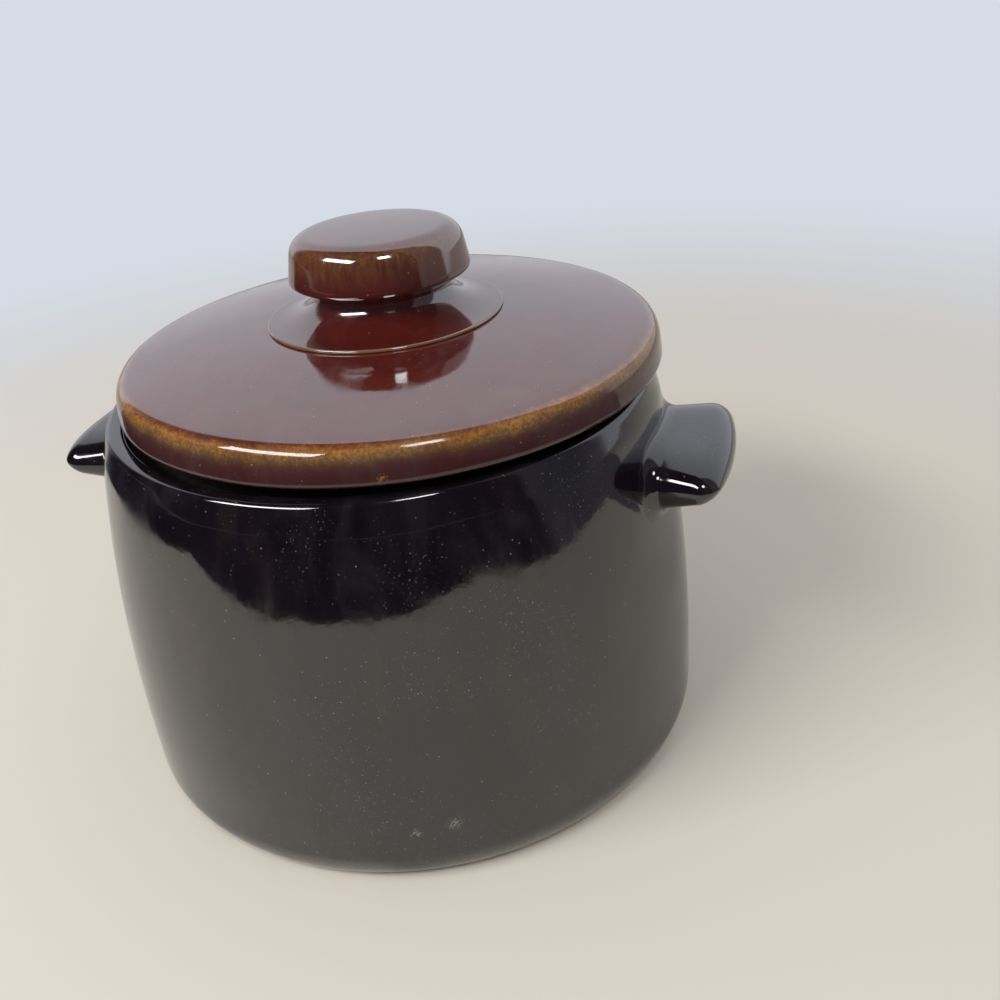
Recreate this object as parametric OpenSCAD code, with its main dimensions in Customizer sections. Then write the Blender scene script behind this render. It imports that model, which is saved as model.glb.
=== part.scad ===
// Stoneware bean pot: a glazed barrel-shaped pot with two lug handles and a loose lift-off lid.
// Millimetres, +Z up. The origin is the middle of the underside, where the pot stands.
// The lugs point along +X and -X. The lid lifts straight up off a ledge inside the mouth.

/* [Pot] */
// Widest radius of the pot, low on the barrel
belly_r = 87.6; // [82:0.2:96]
// Height of the widest line
belly_z = 18; // [14:0.5:30]
// Outer radius of the barrel at the height of its rim
shoulder_r = 77.8; // [74:0.2:80]
// Height of the top of the rim
rim_z = 110; // [96:0.5:130]
// Thickness of the wall
wall = 6; // [5:0.25:8]
// Thickness of the floor, measured from the table
floor_t = 8; // [6:0.25:11]
// Rounding of the heel, between barrel and underside
heel_round = 7; // [4:0.5:10]
// Rounding inside, between floor and wall
inner_heel_round = 16; // [8:0.5:22]

/* [Rim] */
// Thickness of the rim around the mouth
rim_t = 6; // [4.5:0.1:8]
// How much lower the outer side of the rim's top lies than its inner side
rim_slope = 2; // [0.5:0.1:3]
// Rounding of the outer corner of the rim
rim_round = 6.5; // [2:0.1:8]
// Rounding of the inner corner of the rim
lip_round = 1; // [0.5:0.1:2]
// Depth of the lid's ledge below the top of the rim
ledge_drop = 5.5; // [4.5:0.1:8]
// Width of the ledge that carries the lid
ledge_w = 10.5; // [9:0.25:13]
// Height of the upright face at the edge of the ledge
throat_h = 4; // [3:0.25:7]
// Rounding of the edge of the ledge
ledge_round = 1.4; // [0.8:0.1:1.8]

/* [Foot] */
// Width of the flat ring the pot stands on
foot_w = 12; // [8:0.5:20]
// Depth of the hollow inside the foot ring
foot_hollow = 1.6; // [1:0.1:2.5]

/* [Lugs] */
// How far a lug stands out from the wall
lug_out = 18.2; // [14:0.5:24]
// Depth of the middle of a lug's root below the rim
lug_drop = 23; // [19:0.2:40]
// How much higher the tip of a lug lies than its root
lug_tip_up = 2.4; // [-4:0.2:4]
// Width of a lug around the pot
lug_w = 45; // [34:0.5:54]
// Thickness of a lug at the wall
lug_root_t = 17; // [12:0.5:20]
// Thickness of a lug near its tip
lug_tip_t = 10.6; // [8:0.2:14]
// Rounding of the outer corners of a lug, seen from above
lug_corner = 5; // [4:0.5:10]
// Length over which the tip of a lug rounds over
lug_nose = 6; // [4:0.2:9]
// Radius of the soft joint between lug and wall
lug_fillet = 3.5; // [2:0.5:6]

/* [Lid] */
// How far the lid's edge reaches out past the mouth
lid_overlap = 4.6; // [3:0.1:6]
// Height of the lid's edge, from its lower corner to its upper corner
lid_edge_h = 9.8; // [8:0.2:13]
// Rounding of the upper edge
lid_edge_round = 5.8; // [3:0.2:7]
// Rounding of the lower edge
lid_lower_round = 3.4; // [1:0.1:4]
// How much narrower the lid is at its upper edge
lid_draft = 1.2; // [0.2:0.1:1.6]
// Rise of the domed top, from the upper corner to the knob's seat
lid_rise = 5.6; // [3:0.2:8]
// Thickness of the disc
lid_t = 8.5; // [7:0.25:10.5]
// Width of the ring under the lid that rests on the ledge
seat_w = 8.5; // [6:0.25:11]
// Rounding of the corners of that ring
seat_round = 1.2; // [0.6:0.1:2]

/* [Knob] */
// Radius of the knob at its lower edge, where it is widest
knob_r = 25.1; // [22:0.1:29]
// How much narrower the knob is at its top edge
knob_draft = 2.2; // [0.6:0.1:3]
// Height of the knob's side, from its lower edge to its top
knob_side_h = 11.8; // [9:0.2:15]
// Rounding of the knob's top edge
knob_round = 5.6; // [3:0.2:6]
// Rise of the knob's gently domed top
knob_crown = 0.6; // [0.2:0.1:1.5]
// Rounding of the knob's lower edge
knob_lower_round = 1.2; // [0.6:0.1:2]
// How far the knob reaches out over its neck
knob_undercut = 6.5; // [4:0.1:9]
// Height of the sloped underside of the knob
knob_under_h = 3.6; // [2:0.2:5]
// Height of the neck's narrowest place above the knob's seat
neck_h = 8; // [6.5:0.1:11]
// How far the flared foot spreads out from the neck
flare_w = 14.3; // [11:0.1:18]
// Thickness of the edge of the flared foot
flare_edge = 0.9; // [0.8:0.1:2]

/* [Fit] */
// Free room around the lid's ring inside the mouth
lid_play = 4.3; // [3:0.1:5]
// Smallest gap left between the loose lid and the pot
lid_gap = 0.3; // [0.2:0.05:0.5]
// Height of the lid's lower edge over the rim
lid_lift = 2.6; // [1:0.1:4]
// Direction towards which the loose lid has slipped, from +X
lid_slip_dir = 24; // [0:1:360]

/* [Hidden] */

// Colours of the two glazes
POT_GLAZE = "#241c1b";
LID_GLAZE = "#5a2018";

// Fineness of rounded corners, of the long curves and of whole turns
CORNER_STEPS = 7;
CURVE_STEPS = 12;
$fn = 120;

// Barrel: upright up to the belly, then one long arc to the rim
barrel_h = rim_z - belly_z;
barrel_in = belly_r - shoulder_r;
barrel_arc_r = (barrel_h * barrel_h + barrel_in * barrel_in) / (2 * barrel_in);
foot_hollow_r = belly_r - heel_round - foot_w;

// Mouth, ledge and the slope that carries the ledge on the wall
mouth_r = shoulder_r - rim_t;
ledge_z = rim_z - ledge_drop;
throat_r = mouth_r - ledge_w;
throat_z = ledge_z - throat_h;
slope_h = barrel_r(throat_z) - wall - throat_r;

// Roundings of the rim, held within the width of its sloped top. The angles are half of those
// between the top and an upright face, so rounding / tan(angle) is the run along the top.
LIP_SHARE = 0.4;
rim_top_w = norm([rim_t, rim_slope]);
rim_lean = atan2(rim_slope, rim_t);
lip_half = (90 - rim_lean) / 2;
rim_half = (90 + rim_lean) / 2;
lip_fit = min(lip_round, LIP_SHARE * rim_top_w * tan(lip_half));
rim_fit = min(rim_round, (rim_top_w - lip_fit / tan(lip_half)) * tan(rim_half));

// Lugs
lug_root_z = rim_z - lug_drop;
lug_wall_r = barrel_r(lug_root_z);

// Lid, from its ring on the ledge up to the knob's seat
lid_slip = lid_play - lid_gap;
seat_r = mouth_r - lid_play;
seat_z = ledge_z + lid_gap;
lid_r = mouth_r + lid_overlap;
lid_z = rim_z + lid_lift;
lid_top_z = lid_z + lid_edge_h;
knob_seat_z = lid_top_z + lid_rise;

// Roundings of the lid's edge, held within its height
LOWER_SHARE = 0.4;
lid_lower_fit = min(lid_lower_round, LOWER_SHARE * lid_edge_h);
lid_edge_fit = min(lid_edge_round, (1 - LOWER_SHARE) * lid_edge_h);

// Knob
neck_r = knob_r - knob_undercut;
neck_z = knob_seat_z + neck_h;
knob_foot_r = neck_r + flare_w;
knob_low_z = neck_z + knob_under_h;

// Radius of the outside of the barrel at a height
function barrel_r(z) = z <= belly_z ? belly_r
    : belly_r - barrel_arc_r + sqrt(pow(barrel_arc_r, 2) - pow(z - belly_z, 2));

// Points along the barrel between two heights, moved in by a distance
function barrel_line(inset, z0, z1) =
    [for (i = [0:CURVE_STEPS]) let (z = z0 + (z1 - z0) * i / CURVE_STEPS) [barrel_r(z) - inset, z, 0]];

// Unit vector from one point to another
function towards(a, b) = let (d = [b.x - a.x, b.y - a.y]) d / norm(d);

// Arc of radius b.z that rounds the corner b between its neighbours a and c
function round_corner(a, b, c) =
    let (u = towards(b, a), v = towards(b, c),
         half = acos(u * v) / 2,
         middle = [b.x, b.y] + (u + v) / norm(u + v) * b.z / sin(half),
         start = [b.x, b.y] + u * b.z / tan(half) - middle,
         side = sign(u.x * v.y - u.y * v.x))
    [for (i = [0:CORNER_STEPS])
        let (t = -side * (180 - 2 * half) * i / CORNER_STEPS)
        middle + [start.x * cos(t) - start.y * sin(t), start.x * sin(t) + start.y * cos(t)]];

// Outline through corners [x, y, rounding]; a rounding of 0 keeps the point
function soft_outline(corners) =
    let (n = len(corners))
    [for (i = [0:n - 1])
        each corners[i].z > 0
            ? round_corner(corners[(i + n - 1) % n], corners[i], corners[(i + 1) % n])
            : [[corners[i].x, corners[i].y]]];

// Corners of the pot's outside, from the edge of the base up to the rim
function outside_corners() = concat(
    [[belly_r, 0, heel_round]],
    barrel_line(0, belly_z, rim_z - rim_slope - 1.2 * rim_fit),
    [[shoulder_r, rim_z - rim_slope, rim_fit]]);

// Pot with its rim, inner ledge and foot ring
module pot_body() {
    inner_heel_z = floor_t + 1.2 * inner_heel_round;
    inner_low_r = barrel_r(floor_t) - wall;
    color(POT_GLAZE) rotate_extrude() polygon(soft_outline(concat(
        outside_corners(),
        [[mouth_r, rim_z, lip_fit], [mouth_r, ledge_z, ledge_round / 2],
         [throat_r, ledge_z, ledge_round], [throat_r, throat_z, ledge_round]],
        barrel_line(wall, throat_z - slope_h, inner_heel_z),
        [[inner_low_r, floor_t, inner_heel_round], [0, floor_t, 0], [0, foot_hollow, 0],
         [foot_hollow_r - foot_hollow, foot_hollow, 0], [foot_hollow_r, 0, 0]])));
}

// Whole round form inside the pot's outer surface
module pot_outside() {
    rotate_extrude() polygon(soft_outline(concat([[0, 0, 0]], outside_corners(), [[0, rim_z, 0]])));
}

// Lug form: rings of points from inside the wall out to the tip
LUG_RING = 32;
LUG_STEPS = 15;

// Height of a quarter round of radius r at a distance d from its end
function quarter(d, r) = d >= r ? r : sqrt(r * r - pow(r - max(d, 0), 2));

// Power that keeps the sign: below 1 it turns a circle into a soft rectangle
function soft(v, power) = sign(v) * pow(abs(v), power);

// One ring, a distance d outside the wall; it follows the barrel near the wall and is upright at the tip
function lug_ring(d) =
    let (share = max(d, 0) / lug_out,
         flare = lug_fillet - quarter(d, lug_fillet),
         half_t = (lug_root_t + (lug_tip_t - lug_root_t) * share) / 2
                  * quarter(lug_out - d, lug_nose) / lug_nose + flare,
         half_w = lug_w / 2 - lug_corner + quarter(lug_out - d, lug_corner) + flare,
         mid_z = lug_root_z + lug_tip_up * share)
    [for (i = [0:LUG_RING - 1])
        let (a = 360 * i / LUG_RING,
             z = mid_z + half_t * sin(a),
             r = barrel_r(z) * (1 - share) + lug_wall_r * share + d,
             turn = half_w * soft(cos(a), 0.4) / lug_wall_r * 180 / PI)
        [r * cos(turn), r * sin(turn), z]];

// Distances of the rings outside the wall, closer together at the wall and at the tip
function lug_place(i) = lug_out * (1 - cos(180 * (i - 1) / (LUG_STEPS - 0.5))) / 2;

// Whole lug on the +X side, still reaching into the wall
module lug_form() {
    rings = concat([lug_ring(-wall / 2)], [for (i = [1:LUG_STEPS]) lug_ring(lug_place(i))]);
    sides = [for (k = [0:LUG_STEPS - 1]) for (i = [0:LUG_RING - 1])
        let (a = k * LUG_RING, b = a + LUG_RING, j = (i + 1) % LUG_RING)
        each [[a + i, b + i, b + j], [a + i, b + j, a + j]]];
    ends = [[for (i = [0:LUG_RING - 1]) i],
            [for (i = [LUG_RING - 1:-1:0]) LUG_STEPS * LUG_RING + i]];
    polyhedron([for (ring = rings) each ring], concat(sides, ends), convexity = 4);
}

// Lug seated against the curved wall of the pot
module lug() {
    difference() {
        lug_form();
        pot_outside();
    }
}

// Lug handle on the +X side
module right_lug() {
    color(POT_GLAZE) lug();
}

// Lug handle on the -X side
module left_lug() {
    color(POT_GLAZE) mirror([1, 0, 0]) lug();
}

// Moves the loose lid to where it has slipped inside the mouth
module slipped() {
    translate([lid_slip * cos(lid_slip_dir), lid_slip * sin(lid_slip_dir), 0]) children();
}

// Corners along the domed top, from near the edge in to the knob's foot
function dome_line() =
    [for (i = [2:CURVE_STEPS])
        let (s = i / CURVE_STEPS, rise = (s + sin(90 * s)) / 2)
        [lid_r + (knob_foot_r - lid_r) * s, lid_top_z + lid_rise * rise, 0]];

// Lid disc with the ring under it that rests on the ledge
module lid_plate() {
    ring_in_r = seat_r - seat_w;
    color(LID_GLAZE) slipped() rotate_extrude() polygon(soft_outline(concat(
        [[0, knob_seat_z - lid_t, 0], [ring_in_r, lid_top_z - lid_t + lid_rise / 4, seat_round],
         [ring_in_r, seat_z, seat_round], [seat_r, seat_z, seat_round],
         [seat_r, lid_z, seat_round], [lid_r, lid_z, lid_lower_fit],
         [lid_r - lid_draft, lid_top_z, lid_edge_fit]],
        dome_line(),
        [[0, knob_seat_z, 0]])));
}

// Points of the hollow curve from the edge of the foot up to the neck
function flare_line() =
    [for (i = [1:CURVE_STEPS])
        let (a = 90 * i / CURVE_STEPS)
        [knob_foot_r - flare_w * sin(a), neck_z - (neck_h - flare_edge) * cos(a), 0]];

// Points along the knob's domed top, from inside its rounded edge to the middle
function crown_line(r, z) =
    [for (i = [4:CURVE_STEPS])
        let (s = i / CURVE_STEPS)
        [r * (1 - s), z + knob_crown * s * (2 - s), 0]];

// Knob with its neck and the flared foot that joins it to the lid
module lid_knob() {
    top_z = knob_low_z + knob_side_h;
    top_r = knob_r - knob_draft;
    color(LID_GLAZE) slipped() rotate_extrude() polygon(soft_outline(concat(
        [[0, knob_seat_z, 0], [knob_foot_r, knob_seat_z, 0],
         [knob_foot_r, knob_seat_z + flare_edge, flare_edge / 2]],
        flare_line(),
        [[knob_r, knob_low_z, knob_lower_round], [top_r, top_z, knob_round]],
        crown_line(top_r, top_z))));
}

pot_body();
left_lug();
right_lug();
lid_plate();
lid_knob();
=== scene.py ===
"""Looks of the stoneware bean pot: glazed pot with two lugs, and a loose lid with a knob.

Sizes are written in millimetres and turned to metres where a mesh is made.
The pot stands on z = 0 about the Z axis, its lugs point along +X and -X, as in the CAD frame.
"""
import math

import bmesh
import bpy
import numpy as np
from mathutils import Matrix, Vector


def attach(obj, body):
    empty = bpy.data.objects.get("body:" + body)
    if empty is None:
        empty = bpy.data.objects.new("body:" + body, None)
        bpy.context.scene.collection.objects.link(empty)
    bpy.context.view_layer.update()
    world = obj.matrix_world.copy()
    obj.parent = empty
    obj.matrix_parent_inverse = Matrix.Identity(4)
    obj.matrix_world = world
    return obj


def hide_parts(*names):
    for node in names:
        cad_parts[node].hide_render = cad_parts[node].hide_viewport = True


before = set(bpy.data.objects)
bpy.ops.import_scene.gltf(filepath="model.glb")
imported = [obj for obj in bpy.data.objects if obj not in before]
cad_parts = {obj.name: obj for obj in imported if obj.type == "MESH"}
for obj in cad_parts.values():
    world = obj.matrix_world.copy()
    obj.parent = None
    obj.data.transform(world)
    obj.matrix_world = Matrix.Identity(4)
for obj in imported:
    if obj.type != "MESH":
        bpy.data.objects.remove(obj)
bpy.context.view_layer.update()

MM = 0.001
POT_COLUMNS, LID_COLUMNS, KNOB_COLUMNS = 330, 320, 256      # faces round each turned piece
LUG_RINGS, LUG_COLUMNS = 56, 160                            # rings along a lug, faces round it

# ------------------------------------------------------- sizes of the part, as in its CAD source
BELLY_R, BELLY_Z, SHOULDER_R, RIM_Z = 87.6, 18.0, 77.8, 110.0
WALL, RIM_T, FLOOR_T, HEEL_ROUND, INNER_HEEL_ROUND = 6.0, 6.0, 8.0, 7.0, 16.0
LEDGE_DROP, LEDGE_W, THROAT_H, LEDGE_ROUND = 5.5, 10.5, 4.0, 1.4
FOOT_W, FOOT_HOLLOW = 12.0, 1.6

LUG_OUT, LUG_DROP, LUG_TIP_UP, LUG_W = 18.1, 23.0, 2.4, 45.0
LUG_ROOT_T, LUG_TIP_T, LUG_CORNER, LUG_NOSE, LUG_FILLET = 17.0, 10.6, 5.0, 6.0, 3.5

LID_OVERLAP, LID_EDGE_H, LID_EDGE_ROUND, LID_DRAFT = 4.6, 9.8, 5.8, 1.2
LID_RISE, LID_T, SEAT_W, SEAT_ROUND = 5.6, 8.5, 8.5, 1.2
KNOB_R, KNOB_DRAFT, KNOB_SIDE_H, KNOB_ROUND, KNOB_CROWN = 25.1, 2.2, 11.8, 5.6, 0.6
KNOB_LOWER_ROUND, KNOB_UNDERCUT, KNOB_UNDER_H, NECK_H = 1.2, 6.5, 3.6, 8.0
FLARE_W, FLARE_EDGE = 14.3, 0.9
LID_PLAY, LID_GAP, LID_LIFT, LID_SLIP_DIR = 4.3, 0.3, 2.6, math.radians(24.0)

MOUTH_R = SHOULDER_R - RIM_T
LEDGE_Z = RIM_Z - LEDGE_DROP
THROAT_R = MOUTH_R - LEDGE_W
THROAT_Z = LEDGE_Z - THROAT_H
FOOT_HOLLOW_R = BELLY_R - HEEL_ROUND - FOOT_W
LUG_ROOT_Z = RIM_Z - LUG_DROP
SEAT_R = MOUTH_R - LID_PLAY
SEAT_Z = LEDGE_Z + LID_GAP
LID_R = MOUTH_R + LID_OVERLAP
LID_Z = RIM_Z + LID_LIFT
LID_TOP_Z = LID_Z + LID_EDGE_H
EDGE_MIDDLE_R, EDGE_MIDDLE_Z = LID_R - LID_DRAFT - LID_EDGE_ROUND, LID_TOP_Z - LID_EDGE_ROUND
KNOB_SEAT_Z = LID_TOP_Z + LID_RISE
NECK_R = KNOB_R - KNOB_UNDERCUT
NECK_Z = KNOB_SEAT_Z + NECK_H
KNOB_FOOT_R = NECK_R + FLARE_W
KNOB_LOW_Z = NECK_Z + KNOB_UNDER_H
KNOB_TOP_Z = KNOB_LOW_Z + KNOB_SIDE_H
LID_X = (LID_PLAY - LID_GAP) * math.cos(LID_SLIP_DIR)
LID_Y = (LID_PLAY - LID_GAP) * math.sin(LID_SLIP_DIR)

# Finer than in the CAD source: the rim bends in a little below its rolled top, and its corners and
# the lid's lower corner are tighter. The solid is up to 1.2 mm away at the rim, 1.0 at the lid.
RIM_ROLL, LIP_ROLL, RIM_BEND_ROUND, RIM_LEAN = 2.0, 1.4, 18.0, 1.4
RIM_ROLL_R, RIM_BEND_R, RIM_BEND_Z = SHOULDER_R - RIM_LEAN, SHOULDER_R + RIM_LEAN, RIM_Z - 7.0
BARREL_TOP_Z = RIM_BEND_Z - 5.5         # where the barrel's arc hands over to the bend
LID_LOWER_ROLL = 1.5

# ------------------------------------------------------- the camera's place
CAMERA_TURN = math.radians(23.9)        # how far the lugs' line is turned from square to the camera
CAMERA_PLACE = (0.0, -0.2733, 0.2163)
CAMERA_YAW, CAMERA_DOWN, CAMERA_ROLL = 0.1114, 0.5104, -0.0997
CAMERA_LENS, CAMERA_SENSOR = 36.09, 36


def turned(x, y, z):
    """A point given square to the camera's side of the pot, in the CAD frame: turned about Z."""
    c, s = math.cos(CAMERA_TURN), math.sin(CAMERA_TURN)
    return Vector((x * c - y * s, x * s + y * c, z))


# ------------------------------------------------------- outlines
ARC_POINTS, BARREL_POINTS = 25, 40
FINE_STEP = 0.1         # mm between the points of an outline while it is smoothed


def barrel_r(z):
    """Radius of the barrel: upright to the belly, then a long circular arc in to the shoulder."""
    height, inward = RIM_Z - BELLY_Z, BELLY_R - SHOULDER_R
    arc_r = (height ** 2 + inward ** 2) / (2 * inward)
    up = np.maximum(np.asarray(z, float) - BELLY_Z, 0)
    return BELLY_R - arc_r + np.sqrt(arc_r ** 2 - up ** 2)


def barrel_line(inset, z0, z1):
    """Corners [radius, height, rounding 0] along the barrel from z0 to z1, moved in by inset."""
    z = np.linspace(z0, z1, BARREL_POINTS)
    return np.stack([barrel_r(z) - inset, z, 0 * z], 1).tolist()


def rounded(a, b, c):
    """Points of the arc of radius b[2] that touches the lines from b to a and from b to c."""
    corner = np.array(b[:2])
    u, v = (np.array(p[:2]) - corner for p in (a, c))
    u, v = u / np.linalg.norm(u), v / np.linalg.norm(v)
    half = math.acos(np.clip(u @ v, -1, 1)) / 2
    middle = corner + (u + v) / np.linalg.norm(u + v) * b[2] / math.sin(half)
    start = corner + u * b[2] / math.tan(half) - middle
    side = math.copysign(1, u[0] * v[1] - u[1] * v[0])
    t = -side * (math.pi - 2 * half) * np.linspace(0, 1, ARC_POINTS)
    return middle + np.stack([start[0] * np.cos(t) - start[1] * np.sin(t),
                              start[0] * np.sin(t) + start[1] * np.cos(t)], 1)


def outline(corners, glaze=0.35, longest=2.2, turn=math.radians(5)):
    """The outline through corners [radius, height, rounding], axis to axis, as glaze leaves it.

    Each corner is rounded by its arc. The line is then cut into fine steps and smoothed with a
    Gaussian of width glaze in mm, which is the softening that the glaze gives. It is mirrored at
    the axis while it is smoothed, so that it ends there level. Last, points are placed so that no
    step is longer than longest or turns by more than turn.
    """
    n = len(corners)
    parts = [rounded(corners[i - 1], corners[i], corners[(i + 1) % n]) if corners[i][2] > 0
             else np.array([corners[i][:2]]) for i in range(n)]
    line = np.concatenate(parts)
    along = np.concatenate([[0], np.cumsum(np.linalg.norm(np.diff(line, axis=0), axis=1))])
    even = np.linspace(0, along[-1], int(along[-1] / FINE_STEP))
    line = np.stack([np.interp(even, along, line[:, k]) for k in (0, 1)], 1)

    pad = int(6 * glaze / FINE_STEP)        # the Gaussian is cut off at six widths
    flip = np.array([-1, 1])
    line = np.concatenate([line[pad:0:-1] * flip, line, line[-2:-pad - 2:-1] * flip])
    x = np.arange(-pad, pad + 1) * FINE_STEP
    bell = np.exp(-x ** 2 / (2 * glaze ** 2))
    line = np.stack([np.convolve(line[:, k], bell / bell.sum(), "valid") for k in (0, 1)], 1)

    step = np.diff(line, axis=0)
    length = np.linalg.norm(step, axis=1)
    angle = np.unwrap(np.arctan2(step[:, 1], step[:, 0]))
    bend = np.abs(np.gradient(angle))
    count = np.concatenate([[0], np.cumsum(length / longest + bend / turn)])
    at = np.linspace(0, count[-1], int(math.ceil(count[-1])) + 1)
    line = np.stack([np.interp(at, count, line[:, k]) for k in (0, 1)], 1)
    line[[0, -1], 0] = 0
    return line


# ------------------------------------------------------- surfaces
WAVES, WAVE_LEVEL = 28, 1.2     # waves in an uneven surface, and how far their sum is let down


def unevenness(angle, height, seed, around, lengths, most):
    """Gentle hollows of a shaped and glazed wall, in mm, from 0 down to -most.

    The sum of sine waves with a whole number of waves round the piece, wave lengths in mm between
    the two given, turned to random directions with random phases; around is the length round it.
    The sum is let down and cut off at 0, so that nothing stands proud of the solid.
    """
    rng = np.random.default_rng(seed)
    wave = rng.uniform(*lengths, WAVES)
    lean = rng.uniform(0, 2 * np.pi, WAVES)
    turns = np.round(around / wave * np.cos(lean))
    rise = 2 * np.pi / wave * np.sin(lean)
    phase = rng.uniform(0, 2 * np.pi, WAVES)
    sum_of = np.zeros(np.broadcast(angle, height).shape)
    for k, m, p, w in zip(turns, rise, phase, wave):
        sum_of += np.sin(k * angle + m * height + p) * w / lengths[1]
    deepest = 2 * WAVE_LEVEL
    return np.clip(sum_of / WAVES ** 0.5 - WAVE_LEVEL, -deepest, 0) * most / deepest


def ramp(values, start, length):
    """0 before start, 1 past start + length and a straight line between; a length below 0 falls."""
    return np.clip((values - start) / length, 0, 1)


def put(name, data):
    """An object with this mesh, lamp or camera, in the scene."""
    made = bpy.data.objects.new(name, data)
    bpy.context.scene.collection.objects.link(made)
    return made


def new_piece(name, points, faces, material, body, node):
    """A mesh object in metres from points in mm; it rides on a body and stands for a CAD node."""
    mesh = bpy.data.meshes.new(name)
    mesh.from_pydata((points * MM).tolist(), [], faces)
    made = bmesh.new()
    made.from_mesh(mesh)
    bmesh.ops.remove_doubles(made, verts=made.verts, dist=1e-7)
    bmesh.ops.recalc_face_normals(made, faces=made.faces)
    made.to_mesh(mesh)
    made.free()
    mesh.shade_smooth()
    mesh.materials.append(material)
    piece = put(name, mesh)
    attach(piece, body)
    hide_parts(node)
    return piece


def coat(piece, material, where, middle=(0, 0)):
    """Gives a material to the faces that where picks by radius round middle and height, in mm."""
    mesh = piece.data
    mesh.materials.append(material)
    count = len(mesh.polygons)
    at, index = np.zeros(3 * count), np.zeros(count, np.int32)
    mesh.polygons.foreach_get("center", at)
    x, y, z = at.reshape(-1, 3).T / MM
    index[where(np.hypot(x - middle[0], y - middle[1]), z)] = 1
    mesh.polygons.foreach_set("material_index", index)


def grid_faces(rows, columns):
    """Quads of a grid whose rows run along the outline and whose columns close round the piece."""
    i, j = np.meshgrid(np.arange(rows - 1), np.arange(columns), indexing="ij")
    a, b = i * columns + j, i * columns + (j + 1) % columns
    return np.stack([a, b, b + columns, a + columns], -1).reshape(-1, 4).tolist()


def turned_form(line, columns, shift=(0, 0)):
    """Angles, radii and points (r cos t, r sin t, z) of an outline carried round an axis."""
    t = np.linspace(0, 2 * np.pi, columns, endpoint=False)[None, :]
    r, z = line[:, 0][:, None], line[:, 1][:, None] + 0 * t
    return t, r, np.stack([r * np.cos(t) + shift[0], r * np.sin(t) + shift[1], z], -1)


def pot_outline():
    """Outline of the pot: middle of the underside, heel, barrel, rim, ledge, inner slope, floor."""
    slope_h = float(barrel_r(THROAT_Z)) - WALL - THROAT_R
    return outline(
        [[0, FOOT_HOLLOW, 0], [FOOT_HOLLOW_R - FOOT_HOLLOW, FOOT_HOLLOW, 0],
         [FOOT_HOLLOW_R, 0, 0], [BELLY_R, 0, HEEL_ROUND]]
        + barrel_line(0, BELLY_Z, BARREL_TOP_Z)
        + [[RIM_BEND_R, RIM_BEND_Z, RIM_BEND_ROUND], [RIM_ROLL_R, RIM_Z, RIM_ROLL],
           [MOUTH_R, RIM_Z, LIP_ROLL], [MOUTH_R, LEDGE_Z, LEDGE_ROUND / 2],
           [THROAT_R, LEDGE_Z, LEDGE_ROUND], [THROAT_R, THROAT_Z, LEDGE_ROUND]]
        + barrel_line(WALL, THROAT_Z - slope_h, FLOOR_T + 1.2 * INNER_HEEL_ROUND)
        + [[float(barrel_r(FLOOR_T)) - WALL, FLOOR_T, INNER_HEEL_ROUND], [0, FLOOR_T, 0]],
        longest=2.8, turn=math.radians(6))


def wall_hollows(angle, height):
    """The pot's unevenness on its wall; the lugs' roots take the same, so that they stay on it."""
    return unevenness(angle, height, seed=11, around=2 * np.pi * BELLY_R, lengths=(18, 70),
                      most=0.2)


def make_pot(material):
    """The pot: its outline carried round the Z axis, r moved by the wall's hollows on its outside.

    They come in from 6 to 16 mm above the foot and fade out over the last 8 mm below the rim.
    """
    line = pot_outline()
    t, r, points = turned_form(line, POT_COLUMNS)
    z = points[..., 2]
    outer_half = r > barrel_r(z) - 0.6 * WALL
    outside = outer_half * ramp(z, 6, 10) * ramp(z, RIM_Z, -8)
    moved = r + wall_hollows(t, z) * outside
    points[..., 0], points[..., 1] = moved * np.cos(t), moved * np.sin(t)
    return new_piece("glazed_pot", points.reshape(-1, 3), grid_faces(len(line), POT_COLUMNS),
                     material, "pot", "pot_body")


def quarter(d, r):
    """Height of a quarter circle of radius r at a distance d from where it starts."""
    return np.sqrt(np.maximum(r ** 2 - (r - np.clip(d, 0, r)) ** 2, 0))


def make_lug(name, side, material, node):
    """A lug: soft rectangles (w |cos a|^0.4, h sin a) carried from the wall out to the tip.

    w and h flare by a quarter circle at the wall and close by one at the corners and the tip. Near
    the wall a ring follows the barrel, and at the tip it stands upright, as in the CAD source. The
    first ring lies inside the wall. side is 1 for +X and -1 for -X.
    """
    share = np.linspace(0, 1, LUG_RINGS)
    d = np.concatenate([[-WALL / 2], LUG_OUT * (1 - np.cos(np.pi * share)) / 2])[:, None]
    a = np.linspace(0, 2 * np.pi, LUG_COLUMNS, endpoint=False)[None, :]
    share = np.maximum(d, 0) / LUG_OUT
    flare = LUG_FILLET - quarter(d, LUG_FILLET)
    half_t = ((LUG_ROOT_T + (LUG_TIP_T - LUG_ROOT_T) * share) / 2
              * quarter(LUG_OUT - d, LUG_NOSE) / LUG_NOSE + flare)
    half_w = LUG_W / 2 - LUG_CORNER + quarter(LUG_OUT - d, LUG_CORNER) + flare
    wall_r = float(barrel_r(LUG_ROOT_Z))
    z = LUG_ROOT_Z + LUG_TIP_UP * share + half_t * np.sin(a)
    turn = half_w * np.sign(np.cos(a)) * np.abs(np.cos(a)) ** 0.4 / wall_r
    if side < 0:
        turn = np.pi - turn
    r = (barrel_r(z) + wall_hollows(turn, z)) * (1 - share) + wall_r * share + d
    points = np.stack([r * np.cos(turn), r * np.sin(turn), z + 0 * r], -1)
    return new_piece(name, points.reshape(-1, 3), grid_faces(*points.shape[:2]),
                     material, "pot", node)


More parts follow.
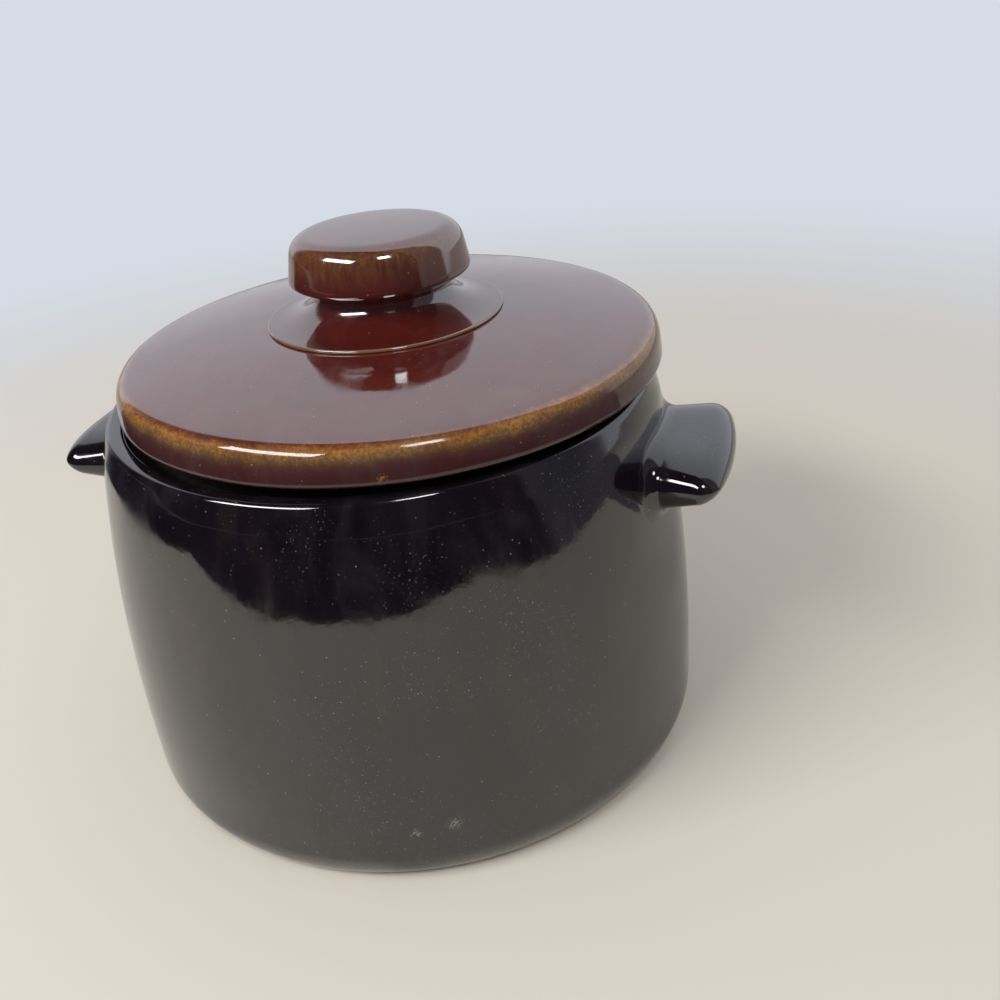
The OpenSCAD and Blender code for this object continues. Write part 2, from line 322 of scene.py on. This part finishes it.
def make_lid(material):
    """The lid: a disc with a domed top and the ring that rests on the ledge, round its own axis.

    The dome runs in from the edge by the share s and rises by (s + sin(90 degrees times s)) / 2 of
    its height. The hollows move z on top of the lid and r on its side.
    """
    s = np.arange(2, 41) / 40
    ring_in_r = SEAT_R - SEAT_W
    rise = (s + np.sin(np.pi / 2 * s)) / 2
    dome = np.stack([LID_R + (KNOB_FOOT_R - LID_R) * s, LID_TOP_Z + LID_RISE * rise, 0 * s], 1)
    dome = dome[s > 0.14]       # the edge's rounding takes the place of the first points
    line = outline(
        [[0, KNOB_SEAT_Z - LID_T, 0], [ring_in_r, LID_TOP_Z - LID_T + LID_RISE / 4, SEAT_ROUND],
         [ring_in_r, SEAT_Z, SEAT_ROUND], [SEAT_R, SEAT_Z, SEAT_ROUND],
         [SEAT_R, LID_Z, SEAT_ROUND], [LID_R, LID_Z, LID_LOWER_ROLL],
         [LID_R - LID_DRAFT, LID_TOP_Z, LID_EDGE_ROUND]]
        + dome.tolist() + [[0, KNOB_SEAT_Z, 0]])
    t, r, points = turned_form(line, LID_COLUMNS, (LID_X, LID_Y))
    z = points[..., 2]
    top = ramp(z, LID_TOP_Z - 1, 2) * ramp(r, KNOB_FOOT_R - 2, 3)
    top_middle_r = 60
    points[..., 2] += top * unevenness(t, r, seed=5, around=2 * np.pi * top_middle_r,
                                       lengths=(16, 60), most=0.12)
    side = (r > LID_R - 8) * ramp(z, LID_Z, 3)
    moved = r + side * unevenness(t, z, seed=7, around=2 * np.pi * LID_R, lengths=(14, 60),
                                  most=0.12)
    points[..., 0], points[..., 1] = moved * np.cos(t) + LID_X, moved * np.sin(t) + LID_Y
    return new_piece("glazed_lid", points.reshape(-1, 3), grid_faces(len(line), LID_COLUMNS),
                     material, "lid", "lid_plate")


def make_knob(material):
    """The knob: a thick disc on a hollow-curved neck that flares into a foot on the lid.

    The neck is a quarter of an ellipse, FLARE_W wide and NECK_H - FLARE_EDGE high. The top is
    crowned by the parabola s (2 - s) of the share s of the way in.
    """
    top_r = KNOB_R - KNOB_DRAFT
    a = np.linspace(0, np.pi / 2, 30)[1:]
    flare = np.stack([KNOB_FOOT_R - FLARE_W * np.sin(a),
                      NECK_Z - (NECK_H - FLARE_EDGE) * np.cos(a), 0 * a], 1)
    s = np.linspace(0.33, 1, 16)
    crown = np.stack([top_r * (1 - s), KNOB_TOP_Z + KNOB_CROWN * s * (2 - s), 0 * s], 1)
    line = outline(
        [[0, KNOB_SEAT_Z, 0], [KNOB_FOOT_R, KNOB_SEAT_Z, 0],
         [KNOB_FOOT_R, KNOB_SEAT_Z + FLARE_EDGE, FLARE_EDGE / 2]] + flare.tolist()
        + [[KNOB_R, KNOB_LOW_Z, KNOB_LOWER_ROUND], [top_r, KNOB_TOP_Z, KNOB_ROUND]]
        + crown.tolist(), glaze=0.3, longest=1.5)
    t, r, points = turned_form(line, KNOB_COLUMNS, (LID_X, LID_Y))
    return new_piece("glazed_knob", points.reshape(-1, 3), grid_faces(len(line), KNOB_COLUMNS),
                     material, "lid", "lid_knob")


def on_ledge(r, z):
    """Inside the pot's mouth, from just under the rolled lip down over the ledge to the throat."""
    return (r < MOUTH_R + 0.5) & (z < RIM_Z - 1.6) & (z > THROAT_Z - 1)


def on_lid_edge(r, z):
    """The lid's rounded edge up to about 61 degrees, its ring and its whole underside."""
    return z < np.where(r > SEAT_R + 1, EDGE_MIDDLE_Z + 5.1, LID_TOP_Z - 1.5)


# ------------------------------------------------------- materials
FACTOR, FIRST, SECOND, MIXED = 0, 6, 7, 2       # the Mix node's inputs and output for colours

BLACK_GLAZE, BLACK_GLAZE_BROWNER, BLACK_GLAZE_RUNS = "#06040a", "#110a0f", "#241a17"
# The heel's pale tone is a painted reflection of the floor in its rounding; the scuffs and bare
# clay are real
HEEL_FLOOR_REFLECTION, SCUFFED, BARE_CLAY = "#7a7571", "#83817e", "#a98e70"
# Painted shade: the ledge under the lid is painted near black, mottled brown
LEDGE_SHADE, LEDGE_SHADE_BROWNER = "#070506", "#1a1310"
IRON_RED, IRON_RED_DARKER, IRON_RED_CLOUDS = "#541811", "#3f1410", "#3a100d"
# The last below is painted shade under the lid; the flecks and the spot are the glaze's own
GOLD_FLECKS, UMBER_FLECKS, AMBER_SPOT, UNDER_LID_SHADE = "#b08a45", "#4a2413", "#a3682f", "#0c080a"
KNOB_RUNS, KNOB_FOOT_LINE = "#6e4c2a", "#9a764a"
WIPED_FILM, DUST = "#7a7275", "#a39c9a"

# Glaze on the lid's edge by the angle round it: 90 degrees on top, 0 on the side, less below it.
# The ramp that carries it runs from EDGE_LOWEST to EDGE_HIGHEST. EDGE_THIN is white where the
# glaze runs thinnest and breaks into flecks.
EDGE_LOWEST, EDGE_HIGHEST = -50, 100
EDGE_TONES = [(-42, "#2f1518"), (-25, "#371a1c"), (-5, "#3d1f20"), (9, "#442726"), (19, "#503728"),
              (28, "#624830"), (38, "#7c5832"), (46, "#976432"), (54, "#7f4822"), (62, "#602917"),
              (73, IRON_RED)]
EDGE_THIN = [(20, "#000000"), (36, "#ffffff"), (52, "#ffffff"), (63, "#000000")]

# Middles and radii, in mm, of the marks that show singly: two scuffs low on the pot, and one amber
# spot of thin glaze on the lid's edge, drawn as two that overlap
SCUFFS = [((27, -83.3, 18.2), 1.6), ((36.3, -79.7, 19.4), 2.2)]
SPOTS = [((27.9, -70.3, 115), 1.0), ((27, -70.6, 114.8), 0.9)]

GLAZE_ROUGH_LEAST, GLAZE_ROUGH_MOST = 0.06, 0.17        # clean, and under the wiped film
BARE_CLAY_ROUGH, LEDGE_ROUGH = 0.8, 0.76


def linear(hex_colour):
    """An sRGB hex colour as the linear RGBA that nodes take."""
    part = [int(hex_colour[i:i + 2], 16) / 255 for i in (1, 3, 5)]
    return [c / 12.92 if c <= 0.04045 else ((c + 0.055) / 1.055) ** 2.4 for c in part] + [1.0]


def per_mm(size):
    """Scale of a noise or cell pattern whose blotches or cells are size mm across."""
    return 1 / (size * MM)


def add(tree, kind, inputs=None, output=0, stops=(), **settings):
    """Adds a node with its settings, fills its inputs with values or links, returns one output.

    stops are the places and hex colours of a colour ramp.
    """
    made = tree.nodes.new(kind)
    for name, value in settings.items():
        setattr(made, name, value)
    for key, value in (inputs or {}).items():
        if isinstance(value, bpy.types.NodeSocket):
            tree.links.new(value, made.inputs[key])
        else:
            made.inputs[key].default_value = value
    for i, (place, colour) in enumerate(stops):
        stop = made.color_ramp.elements[i] if i < 2 else made.color_ramp.elements.new(place)
        stop.position, stop.color = place, linear(colour)
    return made.outputs[output] if len(made.outputs) else None


def blank(data):
    """Turns on the nodes of a new material or world and returns its emptied node tree."""
    data.use_nodes = True
    data.node_tree.nodes.clear()
    return data.node_tree


def ragged_spot(tree, place, middle, radius):
    """A small powdery mark: grains of 0.6 mm, up to 0.6 thick, thinning to 0 past radius mm."""
    away = add(tree, "ShaderNodeVectorMath", {0: place, 1: [v * MM for v in middle]}, "Value",
               operation="DISTANCE")
    grains = add(tree, "ShaderNodeTexNoise", {"Vector": place, "Scale": per_mm(0.6), "Detail": 4.0})
    grains = add(tree, "ShaderNodeMapRange",
                 {"Value": grains, "From Min": 0.3, "From Max": 0.7, "To Min": -0.7 * radius * MM,
                  "To Max": radius * MM})
    away = add(tree, "ShaderNodeMath", {0: away, 1: grains}, operation="ADD")
    return add(tree, "ShaderNodeMapRange",
               {"Value": away, "From Min": radius * MM, "From Max": 0.1 * radius * MM,
                "To Max": 0.6})


def fired_glaze(name, paint, ior, dent_depth, film_most, rough=None):
    """A fired, glossy stoneware glaze: a hard skin of glass over clay, a mirror with soft dents.

    paint gives its colour, and how dry it is from 0 for glass to 1 for bare clay, or None. On it
    lie the marks of use: a wiped film that dulls the mirror in patches and greys it by film_most at
    the most, and dust. Real dust is finer than a tenth of a millimetre; it is drawn in specks of
    0.3 mm with a few of 0.4 mm, so that it shows. rough is given for a glaze that is equally dull
    all over. dent_depth is how deep its soft dents look, in mm; the finer skin on them is 0.01 mm.
    """
    made = bpy.data.materials.new(name)
    tree = blank(made)
    place = add(tree, "ShaderNodeTexCoord", output="Object")
    colour, dry = paint(tree, place)

    # The wiped film, in smears drawn out upright
    wiped = add(tree, "ShaderNodeMapping", {"Vector": place, "Scale": (1, 1, 0.35)})
    smear = add(tree, "ShaderNodeTexNoise",
                {"Vector": wiped, "Scale": per_mm(13), "Detail": 6.0, "Roughness": 0.66,
                 "Distortion": 0.6})
    film = add(tree, "ShaderNodeMapRange", {"Value": smear, "From Min": 0.42, "From Max": 0.7},
               interpolation_type="SMOOTHSTEP")
    veil = add(tree, "ShaderNodeMapRange",
               {"Value": film, "To Min": film_most / 5, "To Max": film_most})

    # Dust: fine specks, thicker in some patches than in others, and coarse ones 3.2 mm apart
    patch = add(tree, "ShaderNodeTexNoise", {"Vector": place, "Scale": per_mm(34), "Detail": 2.0})
    least = add(tree, "ShaderNodeMapRange",
                {"Value": patch, "From Min": 0.35, "From Max": 0.65, "To Min": 0.76,
                 "To Max": 0.66})
    grain = add(tree, "ShaderNodeTexNoise", {"Vector": place, "Scale": per_mm(0.6), "Detail": 2.0})
    over = add(tree, "ShaderNodeMath", {0: grain, 1: least}, operation="SUBTRACT")
    fine = add(tree, "ShaderNodeMapRange", {"Value": over, "From Max": 0.05, "To Max": 0.3})
    cells = add(tree, "ShaderNodeTexVoronoi", {"Vector": place, "Scale": per_mm(3.2)})
    coarse = add(tree, "ShaderNodeMapRange",
                 {"Value": cells, "From Min": 0.065, "From Max": 0.035, "To Max": 0.6})
    dust = add(tree, "ShaderNodeMath", {0: fine, 1: coarse}, operation="MAXIMUM")
    for share, tone in [(veil, WIPED_FILM), (dust, DUST)]:
        colour = add(tree, "ShaderNodeMix", {FACTOR: share, FIRST: colour, SECOND: linear(tone)},
                     MIXED, data_type="RGBA")

    # The gloss, which the film dulls and bare clay lacks
    rough = rough or add(tree, "ShaderNodeMapRange",
                         {"Value": film, "To Min": GLAZE_ROUGH_LEAST, "To Max": GLAZE_ROUGH_MOST})
    if dry is not None:
        dull = add(tree, "ShaderNodeMath", {0: dry, 1: BARE_CLAY_ROUGH}, operation="MULTIPLY")
        rough = add(tree, "ShaderNodeMath", {0: rough, 1: dull}, operation="MAXIMUM")

    # Soft dents 9 mm across, and on them the orange peel of a fired glaze
    dents = add(tree, "ShaderNodeTexNoise", {"Vector": place, "Scale": per_mm(9), "Detail": 2.0})
    peel = add(tree, "ShaderNodeTexNoise", {"Vector": place, "Scale": per_mm(2.4), "Detail": 2.0})
    bump = add(tree, "ShaderNodeBump",
               {"Height": dents, "Distance": dent_depth * MM, "Strength": 1.0})
    bump = add(tree, "ShaderNodeBump",
               {"Height": peel, "Distance": 0.01 * MM, "Strength": 1.0, "Normal": bump})
    shader = add(tree, "ShaderNodeBsdfPrincipled",
                 {"Base Color": colour, "Roughness": rough, "IOR": ior, "Normal": bump})
    add(tree, "ShaderNodeOutputMaterial", {"Surface": shader})
    return made


def pot_paint(tree, place):
    """Iron-saturated black: near black where it lies thick, browner in clouds and in upright runs.

    The heel is painted pale in patches, a painted reflection of the floor in its rounding. The ring
    the pot stands on is bare buff clay, wiped clean for the kiln shelf.
    """
    cloud = add(tree, "ShaderNodeTexNoise", {"Vector": place, "Scale": per_mm(24), "Detail": 4.0})
    colour = add(tree, "ShaderNodeValToRGB", {"Fac": cloud},
                 stops=[(0.35, BLACK_GLAZE), (0.7, BLACK_GLAZE_BROWNER)])
    upright = add(tree, "ShaderNodeMapping", {"Vector": place, "Scale": (1, 1, 0.16)})
    runs = add(tree, "ShaderNodeTexNoise", {"Vector": upright, "Scale": per_mm(7), "Detail": 3.0})
    runs = add(tree, "ShaderNodeMapRange",
               {"Value": runs, "From Min": 0.5, "From Max": 0.8, "To Max": 0.5})
    height = add(tree, "ShaderNodeSeparateXYZ", {0: place}, "Z")
    low = add(tree, "ShaderNodeMapRange",
              {"Value": height, "From Min": 9 * MM, "From Max": 3 * MM})
    # Pale patches near the foot: painted reflection of the floor in the heel's rounding
    heel_reflection = add(tree, "ShaderNodeMapRange", {"Value": cloud, "From Min": 0.3, "From Max": 0.6})
    heel_reflection = add(tree, "ShaderNodeMath", {0: heel_reflection, 1: low}, operation="MULTIPLY")
    bare = add(tree, "ShaderNodeMapRange",
               {"Value": height, "From Min": 0.9 * MM, "From Max": 0.3 * MM})
    scuffs = [(ragged_spot(tree, place, middle, radius), SCUFFED) for middle, radius in SCUFFS]
    for share, tone in [(runs, BLACK_GLAZE_RUNS), (heel_reflection, HEEL_FLOOR_REFLECTION), *scuffs, (bare, BARE_CLAY)]:
        colour = add(tree, "ShaderNodeMix", {FACTOR: share, FIRST: colour, SECOND: linear(tone)},
                     MIXED, data_type="RGBA")
    return colour, bare


def ledge_shade_paint(tree, place):
    """The lid's ledge: painted near black and mottled brown, as painted shade under the lid."""
    # Painted shade in the slit under the lid, mottled brown
    shade_mottle = add(tree, "ShaderNodeTexNoise", {"Vector": place, "Scale": per_mm(4), "Detail": 4.0})
    return add(tree, "ShaderNodeValToRGB", {"Fac": shade_mottle},
               stops=[(0.35, LEDGE_SHADE), (0.7, LEDGE_SHADE_BROWNER)]), None


def lid_axis(tree, place):
    """A point in the lid's own frame: the point, its distance from the lid's axis, its height."""
    own = add(tree, "ShaderNodeMapping",
              {"Vector": place, "Location": (-LID_X * MM, -LID_Y * MM, 0)})
    height = add(tree, "ShaderNodeSeparateXYZ", {0: own}, "Z")
    flat = add(tree, "ShaderNodeVectorMath", {0: own, 1: (1, 1, 0)}, operation="MULTIPLY")
    away = add(tree, "ShaderNodeVectorMath", {0: flat}, "Value", operation="LENGTH")
    return own, away, height


def lid_paint(tree, place):
    """Iron red, which runs thin on the rounded edge and breaks there to burnt orange and amber.

    The colour follows the angle round the edge's middle, made ragged by 0.24 and let drift by 0.2
    radians. Where the glaze is thin it is flecked with gold and umber, as crystals in it are, but
    drawn about twice as coarse so that they show. Under the lid it is painted near black and dull,
    as painted shade, and the ring's lower face is bare clay, as it stands in the kiln.
    """
    own, away, height = lid_axis(tree, place)
    out = add(tree, "ShaderNodeMath", {0: away, 1: EDGE_MIDDLE_R * MM}, operation="SUBTRACT")
    up = add(tree, "ShaderNodeMath", {0: height, 1: EDGE_MIDDLE_Z * MM}, operation="SUBTRACT")
    angle = add(tree, "ShaderNodeMath", {0: up, 1: out}, operation="ARCTAN2")
    ragged = add(tree, "ShaderNodeTexNoise",
                 {"Vector": own, "Scale": per_mm(3.0), "Detail": 5.0, "Roughness": 0.68})
    drift = add(tree, "ShaderNodeTexNoise", {"Vector": own, "Scale": per_mm(24), "Detail": 2.0})
    for noise, most in [(ragged, 0.24), (drift, 0.2)]:
        noise = add(tree, "ShaderNodeMapRange", {"Value": noise, "To Min": -most, "To Max": most})
        angle = add(tree, "ShaderNodeMath", {0: angle, 1: noise}, operation="ADD")
    share = add(tree, "ShaderNodeMapRange",
                {"Value": angle, "From Min": math.radians(EDGE_LOWEST),
                 "From Max": math.radians(EDGE_HIGHEST)})
    colour, thin = (add(tree, "ShaderNodeValToRGB", {"Fac": share},
                        stops=[((degrees - EDGE_LOWEST) / (EDGE_HIGHEST - EDGE_LOWEST), tone)
                               for degrees, tone in by_angle])
                    for by_angle in (EDGE_TONES, EDGE_THIN))

    flecks = add(tree, "ShaderNodeTexNoise",
                 {"Vector": own, "Scale": per_mm(0.9), "Detail": 3.0, "Roughness": 0.7})
    gold = add(tree, "ShaderNodeMapRange", {"Value": flecks, "From Min": 0.48, "From Max": 0.68})
    gold = add(tree, "ShaderNodeMath", {0: gold, 1: thin}, operation="MULTIPLY")
    gold = add(tree, "ShaderNodeMath", {0: gold, 1: 0.45}, operation="MULTIPLY")
    umber = add(tree, "ShaderNodeMapRange",
                {"Value": flecks, "From Min": 0.48, "From Max": 0.3, "To Max": 0.5})
    umber = add(tree, "ShaderNodeMath", {0: umber, 1: thin}, operation="MULTIPLY")
    spots = [(ragged_spot(tree, place, middle, radius), AMBER_SPOT) for middle, radius in SPOTS]
    cloud = add(tree, "ShaderNodeTexNoise", {"Vector": own, "Scale": per_mm(15), "Detail": 4.0})
    cloud = add(tree, "ShaderNodeMapRange",
                {"Value": cloud, "From Min": 0.4, "From Max": 0.75, "To Max": 0.5})

    # Painted shade: the underside inside the lid's edge is painted near black and dull
    below = add(tree, "ShaderNodeMapRange",
                {"Value": height, "From Min": (LID_Z + 0.5) * MM, "From Max": (LID_Z - 0.2) * MM})
    inside = add(tree, "ShaderNodeMapRange",
                 {"Value": away, "From Min": LID_R * MM, "From Max": (SEAT_R + 1.5) * MM})
    hidden_shade = add(tree, "ShaderNodeMath", {0: below, 1: inside}, operation="MULTIPLY")
    bare = add(tree, "ShaderNodeMapRange",
               {"Value": height, "From Min": (SEAT_Z + 0.6) * MM, "From Max": (SEAT_Z + 0.2) * MM})
    for share, tone in [(gold, GOLD_FLECKS), (umber, UMBER_FLECKS), *spots,
                        (cloud, IRON_RED_CLOUDS), (hidden_shade, UNDER_LID_SHADE), (bare, BARE_CLAY)]:
        colour = add(tree, "ShaderNodeMix", {FACTOR: share, FIRST: colour, SECOND: linear(tone)},
                     MIXED, data_type="RGBA")
    dry = add(tree, "ShaderNodeMath", {0: hidden_shade, 1: 0.9}, operation="MULTIPLY")
    return colour, add(tree, "ShaderNodeMath", {0: dry, 1: bare}, operation="MAXIMUM")


def knob_paint(tree, place):
    """Iron red, thinned to golden brown in fine upright runs on the side and on the foot's edge."""
    own, away, height = lid_axis(tree, place)
    cloud = add(tree, "ShaderNodeTexNoise", {"Vector": own, "Scale": per_mm(12), "Detail": 4.0})
    colour = add(tree, "ShaderNodeValToRGB", {"Fac": cloud},
                 stops=[(0.35, IRON_RED), (0.7, IRON_RED_DARKER)])
    upright = add(tree, "ShaderNodeMapping", {"Vector": own, "Scale": (1, 1, 0.14)})
    runs = add(tree, "ShaderNodeTexNoise",
               {"Vector": upright, "Scale": per_mm(1.3), "Detail": 4.0, "Roughness": 0.65})
    runs = add(tree, "ShaderNodeMapRange",
               {"Value": runs, "From Min": 0.34, "From Max": 0.64, "To Min": 0.15, "To Max": 0.85})
    down = add(tree, "ShaderNodeMapRange",
               {"Value": height, "From Min": (KNOB_LOW_Z + 1) * MM,
                "From Max": (KNOB_TOP_Z - 2.2) * MM})
    top = add(tree, "ShaderNodeMapRange",
              {"Value": height, "From Min": (KNOB_TOP_Z - 0.3) * MM,
               "From Max": (KNOB_TOP_Z - 1.4) * MM})
    for share in (top, runs):
        down = add(tree, "ShaderNodeMath", {0: down, 1: share}, operation="MULTIPLY")
    foot = add(tree, "ShaderNodeMapRange",
               {"Value": away, "From Min": (KNOB_FOOT_R - 0.5) * MM,
                "From Max": (KNOB_FOOT_R - 0.2) * MM, "To Max": 0.5})
    for share, tone in [(down, KNOB_RUNS), (foot, KNOB_FOOT_LINE)]:
        colour = add(tree, "ShaderNodeMix", {FACTOR: share, FIRST: colour, SECOND: linear(tone)},
                     MIXED, data_type="RGBA")
    return colour, None


# ------------------------------------------------------- stage, lamps and camera
PAPER_COLOUR, WALL_COLOUR = "#e1d9cc", "#d6dce7"
WALL_IN_GLAZE, EVEN_LIGHT, EVEN_STRENGTH = "#eef2fb", "#f4f6fa", 0.52
WALL_WAY = turned(0.447, 0.894, 0)      # from the pot square on to the pale wall behind it
WALL_HALF = math.radians(66)            # how far the wall reaches to each side, seen from the pot
WALL_SOFT = 0.04                        # softness of its ends, as a cosine
ROOM_WAY = turned(0.682, 0.731, 0)      # square to the line between the room's dark and dim sides
ROOM_TONES = [(0.48, "#22222c"), (0.52, "#6a6a72")]
FLOOR_R, SWEEP_START, SWEEP_END = 4.0, 0.22, 0.7        # metres from the pot

# Where the pale paper ends in the pot's gloss, square to the camera's side, in metres; the dark
# card goes on from there
PAPER_EDGE = [(-0.25, 0.25), (-0.37, 0.03), (-0.4, -0.09), (-0.3, -0.16), (-0.2, -0.25),
              (-0.06, -0.32), (0.04, -0.365), (0.15, -0.39), (0.25, -0.254), (0.32, -0.17),
              (0.37, -0.1), (0.27, -0.01)]
CARD = [(-3, 3)] + PAPER_EDGE + [(3, -0.1), (3, -3), (-3, -3)]


def flat_sheet(name, corners, height, material):
    """A level sheet: one face with these corners, in metres, square to the camera's side."""
    mesh = bpy.data.meshes.new(name)
    count = len(corners)
    mesh.from_pydata(np.column_stack([corners, np.full(count, height)]).tolist(), [],
                     [list(range(count))])
    mesh.transform(Matrix.Rotation(CAMERA_TURN, 4, "Z"))
    mesh.materials.append(material)
    sheet = put(name, mesh)
    return sheet


def make_floor():
    """The floor: plain matt paper, which a studio's sweep carries over into the pale wall."""
    made = bpy.data.materials.new("pale_paper_sweep")
    tree = blank(made)
    paper = add(tree, "ShaderNodeBsdfPrincipled",
                {"Base Color": linear(PAPER_COLOUR), "Roughness": 0.6, "Specular IOR Level": 0.2})
    wall = add(tree, "ShaderNodeEmission", {"Color": linear(WALL_COLOUR)})
    place = add(tree, "ShaderNodeTexCoord", output="Object")
    away = add(tree, "ShaderNodeVectorMath", {0: place}, "Value", operation="LENGTH")
    far = add(tree, "ShaderNodeMapRange",
              {"Value": away, "From Min": SWEEP_START, "From Max": SWEEP_END},
              interpolation_type="SMOOTHSTEP")
    seen = add(tree, "ShaderNodeLightPath", output="Is Camera Ray")
    far = add(tree, "ShaderNodeMath", {0: far, 1: seen}, operation="MULTIPLY")
    both = add(tree, "ShaderNodeMixShader", {0: far, 1: paper, 2: wall})
    add(tree, "ShaderNodeOutputMaterial", {"Surface": both})
    t = np.linspace(0, 2 * np.pi, 96, endpoint=False)
    flat_sheet("floor", FLOOR_R * np.stack([np.cos(t), np.sin(t)], 1), 0, made)


def room_tone(tree, place):
    """The dim room before the pot: dark to the left, and dim grey past a line at the right."""
    side = add(tree, "ShaderNodeVectorMath", {0: place, 1: ROOM_WAY}, "Value",
               operation="DOT_PRODUCT")
    side = add(tree, "ShaderNodeMath", {0: side, 1: 0.5}, operation="ADD")
    return add(tree, "ShaderNodeValToRGB", {"Fac": side}, stops=ROOM_TONES)


def make_card():
    """A dark card round the pale paper, which only the pot's gloss shows, as studios use."""
    made = bpy.data.materials.new("dark_card")
    tree = blank(made)
    place = add(tree, "ShaderNodeTexCoord", output="Object")
    dark = add(tree, "ShaderNodeEmission", {"Color": room_tone(tree, place)})
    add(tree, "ShaderNodeOutputMaterial", {"Surface": dark})
    card = flat_sheet("dark_card", CARD, 1 * MM, made)
    card.visible_camera = False
    card.visible_diffuse = False
    card.visible_shadow = False
    card.visible_transmission = False


def make_lamp(name, azimuth, above, distance, size, radiance):
    """A soft box that faces the pot, azimuth degrees from the camera's side, above degrees high."""
    data = bpy.data.lights.new(name, "AREA")
    data.shape = "RECTANGLE"
    data.size, data.size_y = size
    data.energy = radiance * math.pi * size[0] * size[1]
    lamp = put(name, data)
    a, e = math.radians(azimuth), math.radians(above)
    aim = Vector((0, 0, 0.1))       # about the height of the pot's rim
    way = turned(math.sin(a) * math.cos(e), -math.cos(a) * math.cos(e), math.sin(e))
    lamp.location = aim + distance * way
    lamp.rotation_euler = (lamp.location - aim).to_track_quat("Z", "Y").to_euler()


def make_world():
    """The room: an even soft light, mirrored as a pale wall behind and a dim room in front."""
    world = bpy.data.worlds.new("room")
    bpy.context.scene.world = world
    tree = blank(world)
    way = add(tree, "ShaderNodeTexCoord", output="Generated")
    level = add(tree, "ShaderNodeVectorMath", {0: way, 1: (1, 1, 0)}, operation="MULTIPLY")
    level = add(tree, "ShaderNodeVectorMath", {0: level}, operation="NORMALIZE")
    behind = add(tree, "ShaderNodeVectorMath", {0: level, 1: WALL_WAY}, "Value",
                 operation="DOT_PRODUCT")
    end = math.cos(WALL_HALF)
    wall = add(tree, "ShaderNodeMapRange",
               {"Value": behind, "From Min": end - WALL_SOFT, "From Max": end + WALL_SOFT})
    mirrored = add(tree, "ShaderNodeMix",
                   {FACTOR: wall, FIRST: room_tone(tree, way), SECOND: linear(WALL_IN_GLAZE)},
                   MIXED, data_type="RGBA")
    mirrored = add(tree, "ShaderNodeBackground", {"Color": mirrored, "Strength": 1.0})
    even = add(tree, "ShaderNodeBackground",
               {"Color": linear(EVEN_LIGHT), "Strength": EVEN_STRENGTH})
    plain = add(tree, "ShaderNodeBackground", {"Color": linear(WALL_COLOUR), "Strength": 1.0})
    glossy = add(tree, "ShaderNodeLightPath", output="Is Glossy Ray")
    seen = add(tree, "ShaderNodeLightPath", output="Is Camera Ray")
    light = add(tree, "ShaderNodeMixShader", {0: glossy, 1: even, 2: mirrored})
    both = add(tree, "ShaderNodeMixShader", {0: seen, 1: light, 2: plain})
    add(tree, "ShaderNodeOutputWorld", {"Surface": both})


def make_camera():
    """The camera, at the photograph's place: yaw to the right, down, then rolled about its line."""
    yaw, down, roll = CAMERA_YAW, CAMERA_DOWN, CAMERA_ROLL
    ahead = Vector((math.sin(yaw) * math.cos(down), math.cos(yaw) * math.cos(down),
                    -math.sin(down)))
    right = Vector((math.cos(yaw), -math.sin(yaw), 0))
    up = right.cross(ahead)
    across = math.cos(roll) * right + math.sin(roll) * up
    upward = -math.sin(roll) * right + math.cos(roll) * up
    axes = Matrix([turned(*across), turned(*upward), turned(*-ahead)]).transposed()
    data = bpy.data.cameras.new("camera")
    data.lens, data.sensor_width = CAMERA_LENS, CAMERA_SENSOR
    data.clip_start, data.clip_end = 0.01, 20
    camera = put("camera", data)
    camera.matrix_world = Matrix.Translation(turned(*CAMERA_PLACE)) @ axes.to_4x4()
    bpy.context.scene.camera = camera


make_camera()

# Stoneware dipped in an iron-saturated glaze: near black, a hard and slightly uneven mirror
black = fired_glaze("iron_black_stoneware_glaze", pot_paint,
                    ior=1.8, dent_depth=0.05, film_most=0.04)
# The ledge under the lid: painted near black and dull, with no mirror, as painted shade
ledge = fired_glaze("ledge_painted_shade", ledge_shade_paint,
                    ior=1.25, dent_depth=0.03, film_most=0.04, rough=LEDGE_ROUGH)
# Iron red glaze, whose skin of fine iron crystals mirrors more strongly than plain glass does
red = fired_glaze("iron_red_stoneware_glaze", lid_paint,
                  ior=2.3, dent_depth=0.03, film_most=0.12)
# The same where it has run thin on the edge: clear glass over the orange below
red_edge = fired_glaze("iron_red_glaze_on_lid_edge", lid_paint,
                       ior=1.55, dent_depth=0.03, film_most=0.05)
# The same on the knob, which hands keep cleaner than the lid
red_knob = fired_glaze("iron_red_glaze_on_knob", knob_paint,
                       ior=2.3, dent_depth=0.02, film_most=0.08)

coat(make_pot(black), ledge, on_ledge)
make_lug("glazed_lug_right", 1, black, "right_lug")
make_lug("glazed_lug_left", -1, black, "left_lug")
coat(make_lid(red), red_edge, on_lid_edge, (LID_X, LID_Y))
make_knob(red_knob)

make_floor()
make_card()
make_world()
make_lamp("window_left", azimuth=-63, above=42, distance=1.3, size=(0.85, 0.26), radiance=15)
make_lamp("window_front", azimuth=8, above=52, distance=1.3, size=(0.26, 0.24), radiance=15)
bpy.context.scene.view_settings.view_transform = "Standard"
